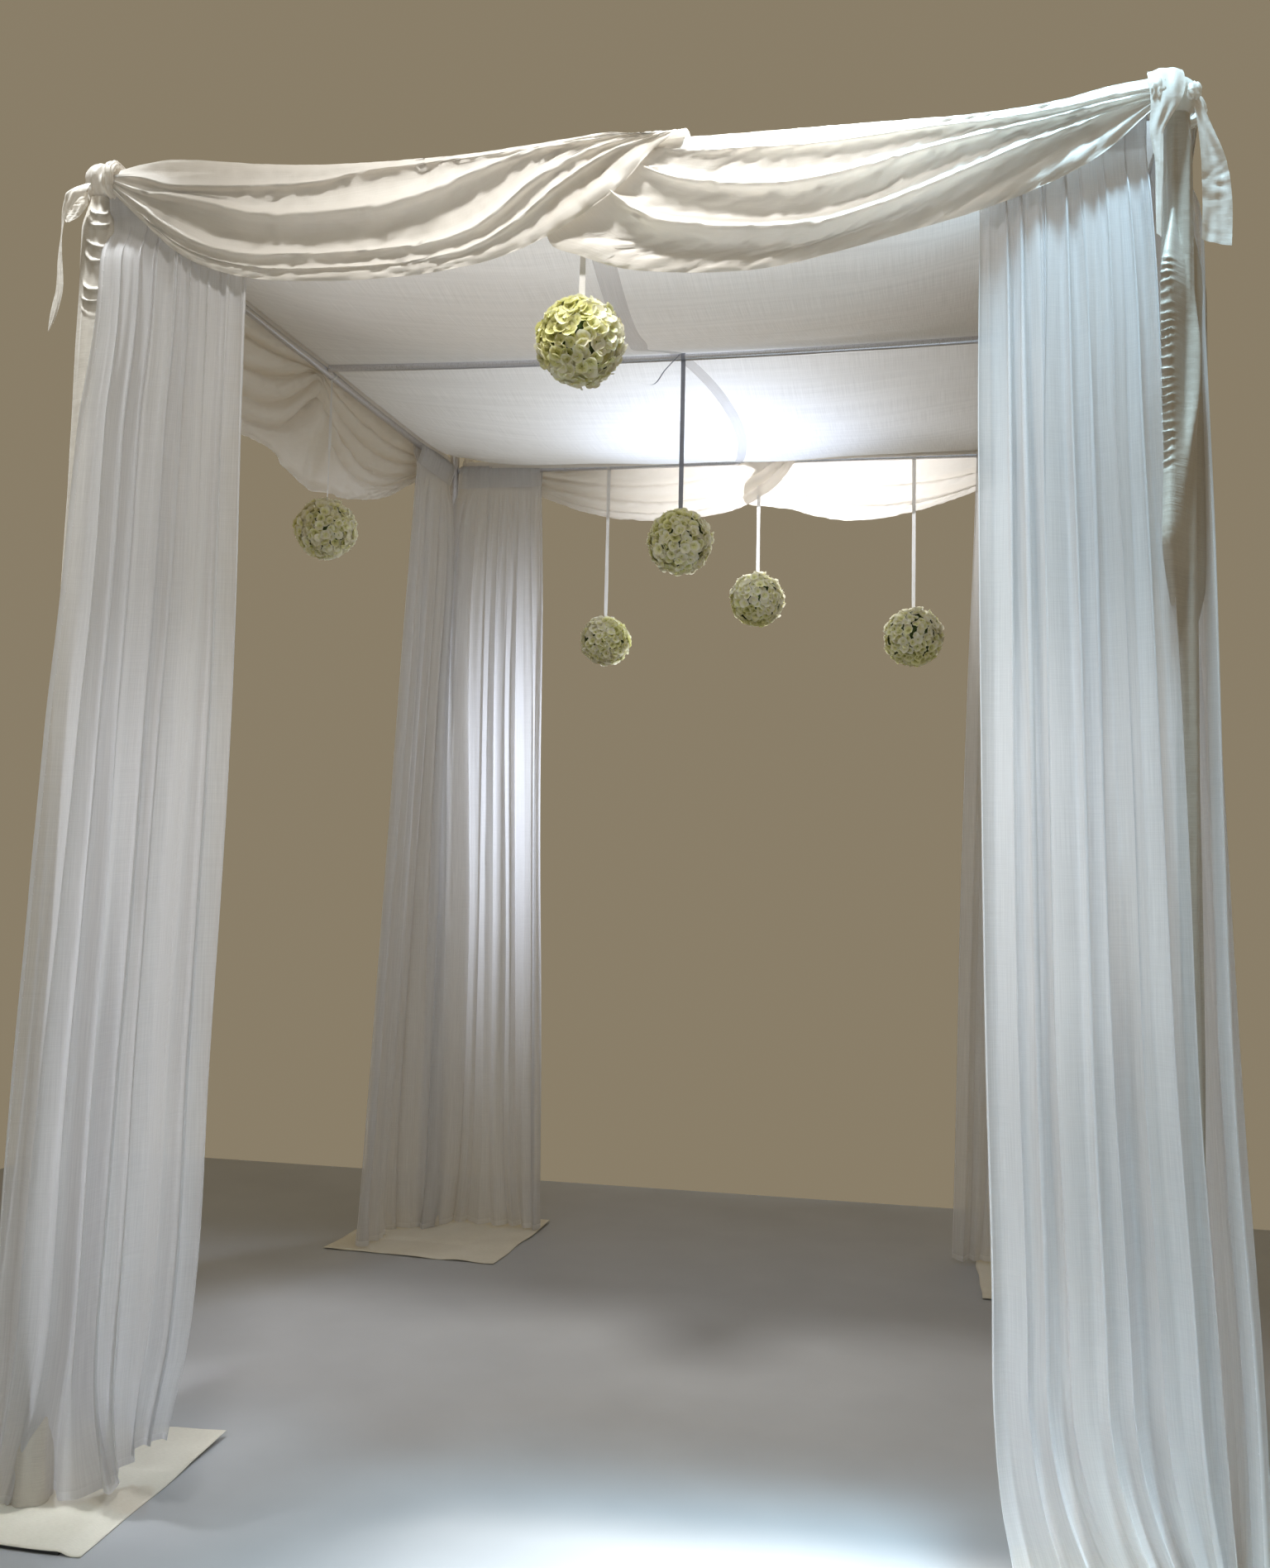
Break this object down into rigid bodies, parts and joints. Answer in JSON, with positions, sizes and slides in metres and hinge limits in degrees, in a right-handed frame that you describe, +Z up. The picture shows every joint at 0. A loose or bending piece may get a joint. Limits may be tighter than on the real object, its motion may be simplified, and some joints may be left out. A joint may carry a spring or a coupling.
{
  "type": "chuppah canopy",
  "caption": "Free-standing wedding canopy: draped poles and crossbars with a sagging ceiling cloth, satin swags, sheer corner drapes and flower balls on ribbons.",
  "frame": {"origin": "on the floor, midway between the poles", "axes": "+Z up, -Y towards the front, +X to the right seen from the front"},
  "size_m": [3.1, 3.26, 3.08],
  "materials": {
    "steel": "dark powder coat, under the base cloth",
    "aluminium": "satin",
    "sheer": "sheer white voile",
    "ceiling": "thin white cloth",
    "satin": "ivory satin with a soft sheen",
    "base_cloth": "ivory cotton",
    "flowers": "artificial petals, ivory to green",
    "ribbon": "white satin ribbon"
  },
  "bodies": {
    "root": {"base_plate_front_left": "steel", "base_cloth_front_left": "base_cloth", "upright_front_left": "aluminium", "pole_sleeve_front_left": "satin", "corner_tie_front_left": "satin", "base_plate_front_right": "steel", "base_cloth_front_right": "base_cloth", "upright_front_right": "aluminium", "pole_sleeve_front_right": "satin", "corner_tie_front_right": "satin", "base_plate_rear_left": "steel", "base_cloth_rear_left": "base_cloth", "upright_rear_left": "aluminium", "pole_sleeve_rear_left": "satin", "corner_tie_rear_left": "satin", "base_plate_rear_right": "steel", "base_cloth_rear_right": "base_cloth", "upright_rear_right": "aluminium", "pole_sleeve_rear_right": "satin", "corner_tie_rear_right": "satin", "crossbar_front": "aluminium", "crossbar_rear": "aluminium", "crossbar_left": "aluminium", "crossbar_right": "aluminium", "crossbar_middle": "aluminium", "ceiling_cloth": "ceiling", "valance_front": "satin", "valance_rear": "satin", "valance_left": "satin", "valance_right": "satin", "drape_front_left_front": "sheer", "drape_front_left_side": "sheer", "drape_front_right_front": "sheer", "drape_front_right_side": "sheer", "drape_rear_left_rear": "sheer", "drape_rear_left_side": "sheer", "drape_rear_right_rear": "sheer", "drape_rear_right_side": "sheer", "flower_ball_front": "flowers", "ribbon_front": "ribbon", "flower_ball_left": "flowers", "ribbon_left": "ribbon", "flower_ball_middle": "flowers", "ribbon_middle": "ribbon", "flower_ball_rear_left": "flowers", "ribbon_rear_left": "ribbon", "flower_ball_rear_middle": "flowers", "ribbon_rear_middle": "ribbon", "flower_ball_rear_right": "flowers", "ribbon_rear_right": "ribbon"}
  },
  "joints": []
}
